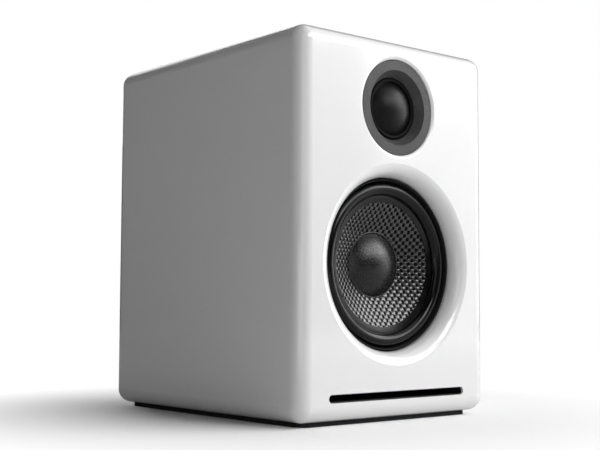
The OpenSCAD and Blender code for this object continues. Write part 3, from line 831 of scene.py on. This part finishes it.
def add_tweeter_silk():
    silk = cloth("dome_silk", grey(0.002), 0.00028, 0.36, 0.00001, specular=0.2)
    outline = cap_outline(DOME_RIM, SILK_FRONT, DOME_HEIGHT, SILK, 48)
    outline.insert(49, (DOME_RIM + 0.16, SILK_FRONT + 0.05))
    outline.insert(50, (DOME_RIM + 0.16, SILK_FRONT + SILK))
    dome = lathe("dome", outline, TWEETER, silk)
    stand_in(dome, "tweeter_dome", DOME_BODY)
    mid_s = SILK_FRONT + SILK / 2
    flange = SILK_ROLL_MIDDLE + SILK_ROLL_RADIUS - 0.15
    outline = (
        arc(SILK_ROLL_MIDDLE, mid_s, SILK_ROLL_RADIUS, -190, -8, 20)
        + [(flange + 0.2, SILK_FRONT), (16.3, SILK_FRONT), (16.3, SILK_FRONT + SILK)]
        + [(flange, SILK_FRONT + SILK)]
        + arc(SILK_ROLL_MIDDLE, mid_s, SILK_ROLL_RADIUS - SILK, -4, -194, 16)
    )
    dull = cloth("roll_silk", grey(0.002), 0.00028, 0.6, 0.00001, specular=0.1)
    sectors("dome_roll", outline, TWEETER, dull, 12, "tweeter_surround", 240)


# ---------------------------------------------------------------- cabinet's soft pieces


def add_base_pad():
    """Foam rubber slab with softened, open-celled edges."""
    low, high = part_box("base_pad")
    width, depth, height = high - low
    corner = 5 * MM
    steps = 110
    rough = np.random.default_rng(5)
    levels = [(0.0, 0.35), (0.02, 0.12), (0.12, 0.03), (0.3, 0), (0.5, 0.02), (0.7, 0), (0.88, 0.03),
              (0.98, 0.12), (1.0, 0.35)]
    rings = []
    for share, inset in levels:
        inset *= MM
        ring = np.array(rounded_rectangle(width - 2 * inset, depth - 2 * inset, corner - inset, steps))
        if 0.05 < share < 0.95:
            ring *= 1 - rough.uniform(0, 0.0016, (len(ring), 1))
        rings.append(np.column_stack([ring, np.full(len(ring), low.z + share * height)]))
    pad = loft("foam_base_pad", rings, foam("pad_foam", (0.012, 0.012, 0.013)), sharp=60)
    stand_in(pad, "base_pad")


def add_wadding():
    """A folded batt of loose fibre over the top of the box and down both sides."""
    low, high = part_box("wadding")
    thick = 7 * MM
    fold = 9 * MM
    left, top = low.x + thick / 2, high.z - thick / 2
    path = [(left, low.z + t * (top - fold - low.z)) for t in np.linspace(0, 1, 24)]
    path += [(left + fold * (1 - math.cos(a)), top - fold * (1 - math.sin(a)))
             for a in np.linspace(0.1, math.pi / 2, 8)]
    path = np.array(path)
    half = path.copy()
    half[:, 0] *= -1
    across = [(x, top) for x in np.linspace(left + fold, -left - fold, 22)[1:-1]]
    path = np.vstack([path, across, half[::-1]])
    along = np.gradient(path, axis=0)
    along /= np.linalg.norm(along, axis=1, keepdims=True)
    length = high.y - low.y
    sides = 64
    angles = np.linspace(0, TAU, sides, endpoint=False)
    square = 0.35
    a = np.sign(np.cos(angles)) * np.abs(np.cos(angles)) ** square * length / 2
    b = np.sign(np.sin(angles)) * np.abs(np.sin(angles)) ** square * thick / 2
    rough = np.random.default_rng(11)
    lumps = rough.uniform(0, TAU, (6, 2))
    rings = []
    for i, ((x, z), (dx, dz)) in enumerate(zip(path, along)):
        swell = sum(
            math.sin(0.55 * i * (k + 1) / 2 + lumps[k, 0]) * np.sin((k + 1) * angles + lumps[k, 1])
            for k in range(6)
        ) / 6
        shrink = 1 - 0.05 * (1 + swell) - rough.uniform(0, 0.03, sides)
        end = min(i, len(path) - 1 - i)
        shrink *= 1 - 0.45 * math.exp(-end / 0.8)
        y = middle("wadding").y + a * np.sqrt(shrink)
        off = b * shrink
        rings.append(np.column_stack([x - dz * off, y, z + dx * off]))
    batt = loft("fibre_batt", rings, fibre("white_wadding", grey(0.62)), sharp=80)
    stand_in(batt, "wadding")


def add_port_lining():
    """Thin black sleeve in the baffle's slot, set just behind its rounded rim."""
    clearance, wall = 0.05, 0.3
    width, height = SLOT_WIDTH - 2 * clearance, SLOT_HEIGHT - 2 * clearance
    start, end = 0.9, 14.9
    rings = []
    for inset, s in ((0, start), (0, end), (wall, end), (wall, start)):
        corner = height / 2 - inset - 0.01
        ring = rounded_rectangle(width - 2 * inset, height - 2 * inset, corner, 14)
        rings.append([(x * MM, FRONT_Y + s * MM, (SLOT_Z + z) * MM) for x, z in ring])
    look = moulded("port_black", grey(0.01), 0.5)
    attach(loft("port_lining", rings, look, closed=True), ROOT)


# ---------------------------------------------------------------- wiring and crossover

WIRE_RADIUS = 0.88
BOARD_Y = REAR_Y / MM - 13.6     # where the leads meet the crossover board
WOOFER_TAG = (FRONT_Y / MM + 25.05, WOOFER_Z / MM + 29.9)
TWEETER_TAG = (FRONT_Y / MM + 17.5, TWEETER_Z / MM - 16.65)


def lead_route(side, tag, *rest):
    """A lead's points, in mm, from a driver's tag on one side: straight off the tag, then on."""
    y, z = tag
    return [(4 * side, y, z), (4 * side, y + 5.5, z + 0.2), *rest]


WIRES = {
    "woofer_lead_red": lead_route(
        1, WOOFER_TAG, (6, -22, 95), (10, -4, 94), (13, 12, 88), (12, 23, 77), (8, 30, 68),
        (5.5, 37, 62), (4.5, BOARD_Y - 7.9, 59), (4.5, BOARD_Y, 59),
    ),
    "woofer_lead_black": lead_route(
        -1, WOOFER_TAG, (-5, -22, 95), (-7, -4, 95), (-6, 12, 91), (-3, 24, 80), (-2, 32, 70),
        (-2, 40, 63), (-3, BOARD_Y - 5.9, 60), (-3, BOARD_Y, 60),
    ),
    "tweeter_lead_red": lead_route(
        1, TWEETER_TAG, (8, -26, 112), (15, -8, 114), (21, 10, 108), (22, 24, 96), (20, 36, 84),
        (13, 44, 74), (8, BOARD_Y, 70.5),
    ),
    "tweeter_lead_black": lead_route(
        -1, TWEETER_TAG, (-8, -26, 113), (-14, -8, 116), (-18, 10, 110), (-18, 24, 96),
        (-15, 36, 80), (-11, 43, 69), (-9, BOARD_Y, 64),
    ),
}


def add_wires():
    red = rubber("wire_red", (0.4, 0.01, 0.008), 0.35)
    black = rubber("wire_black", (0.012, 0.012, 0.012), 0.35)
    for node, points in WIRES.items():
        path = smooth_path(points, 9)
        rings = tube_rings(path * MM, WIRE_RADIUS * MM, 14)
        wire = loft(f"{node}_wire", rings, red if node.endswith("red") else black, sharp=60)
        stand_in(wire, node)


def add_crossover_parts():
    film_low, film_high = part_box("film_capacitor")
    resin = moulded("film_resin", (0.3, 0.02, 0.012), 0.3)
    film = block("film_capacitor_case", film_low, film_high, 0.9 * MM, resin)
    stand_in(film, "film_capacitor")
    stone_low, stone_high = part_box("cement_resistor")
    cement = moulded("cement", grey(0.6), 0.8, 0.00008, 900)
    stone = block("resistor_body", stone_low, stone_high, 0.6 * MM, cement)
    stand_in(stone, "cement_resistor")
    low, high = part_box("electrolytic_capacitor")
    centre = (low + high) / 2
    place = Matrix.Translation((low.x, centre.y, centre.z)) @ Matrix.Rotation(math.pi / 2, 4, "Y")
    length, r = (high.x - low.x) / MM, (high.z - low.z) / 2 / MM
    outline = (
        [(0.05, 0.3), (r - 1.4, 0.3)] + arc(r - 0.7, 0.7, 0.7, -90, 0, 5)
        + arc(r + 0.25, 2.6, 0.9, 250, 110, 8)
        + arc(r - 0.8, length - 0.8, 0.8, 0, 90, 5) + [(r - 1.6, length - 0.35), (0.05, length - 0.35)]
    )
    can = lathe("electrolytic_can", outline, place, moulded("sleeve_blue", (0.01, 0.02, 0.08), 0.3), 96)
    stand_in(can, "electrolytic_capacitor")


# ---------------------------------------------------------------- materials of the CAD nodes


def paint_nodes():
    """Gives each CAD node that stays its material."""
    black_plastic = moulded("black_plastic", grey(0.008), 0.42)
    zinc = metal("zinc_plate", (0.62, 0.61, 0.57), 0.32)
    looks = {
        lacquer(): ["front_baffle", "rear_panel", "left_side", "right_side", "top_panel", "bottom_panel"],
        black_plastic: ["port_duct", "tweeter_housing", "terminal_plate"],
        zinc: ["woofer_top_plate", "woofer_pole_yoke", "tweeter_pole_disc", "tweeter_cup"],
        ferrite(): ["woofer_magnet", "inductor_core"],
        moulded("black_powder_coat", grey(0.008), 0.5, 0.00003, 1900): ["woofer_basket"],
        metal("black_zinc", grey(0.06), 0.38): ["woofer_screws", "terminal_screws"],
        moulded("face_plastic", (0.055, 0.055, 0.057), 0.38, 0.0001, 1500, specular=0.22): [
            "tweeter_faceplate"],
        metal("coil_foil", (0.75, 0.75, 0.76), 0.3): ["tweeter_former"],
        moulded("amber_film", (0.45, 0.2, 0.04), 0.25): ["woofer_former"],
        fibre("grey_felt", grey(0.22), 2200, 0.0002): ["tweeter_felt"],
        metal("tinned_brass", (0.76, 0.73, 0.66), 0.28): ["woofer_tags", "tweeter_tags", "post_nuts"],
        moulded("laminate", (0.16, 0.08, 0.035), 0.5): ["woofer_terminal_strip"],
        metal("nickel", (0.7, 0.69, 0.66), 0.16): ["tweeter_magnet"],
        metal("gold_plate", (0.9, 0.66, 0.26), 0.18): [
            "post_stud_red", "post_stud_black", "post_insert_red", "post_insert_black"],
        metal("turned_brass", (0.78, 0.6, 0.28), 0.3): ["post_spacers"],
        moulded("post_red", (0.42, 0.008, 0.006), 0.3, 0.000012): ["post_collar_red", "post_cap_red"],
        moulded("post_black", grey(0.008), 0.3, 0.000012): ["post_collar_black", "post_cap_black"],
        moulded("solder_mask", (0.01, 0.1, 0.03), 0.35): ["crossover_board"],
    }
    for material, nodes in looks.items():
        for node in nodes:
            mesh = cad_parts[node].data
            mesh.materials.clear()
            mesh.materials.append(material)


# ---------------------------------------------------------------- build

add_camera()
add_stage()
paint_nodes()
add_cone()
add_dust_cap()
add_surround()
add_spider()
add_tinsel_leads()
add_coils()
add_gaskets()
add_tweeter_silk()
add_base_pad()
add_wadding()
add_port_lining()
add_wires()
add_crossover_parts()
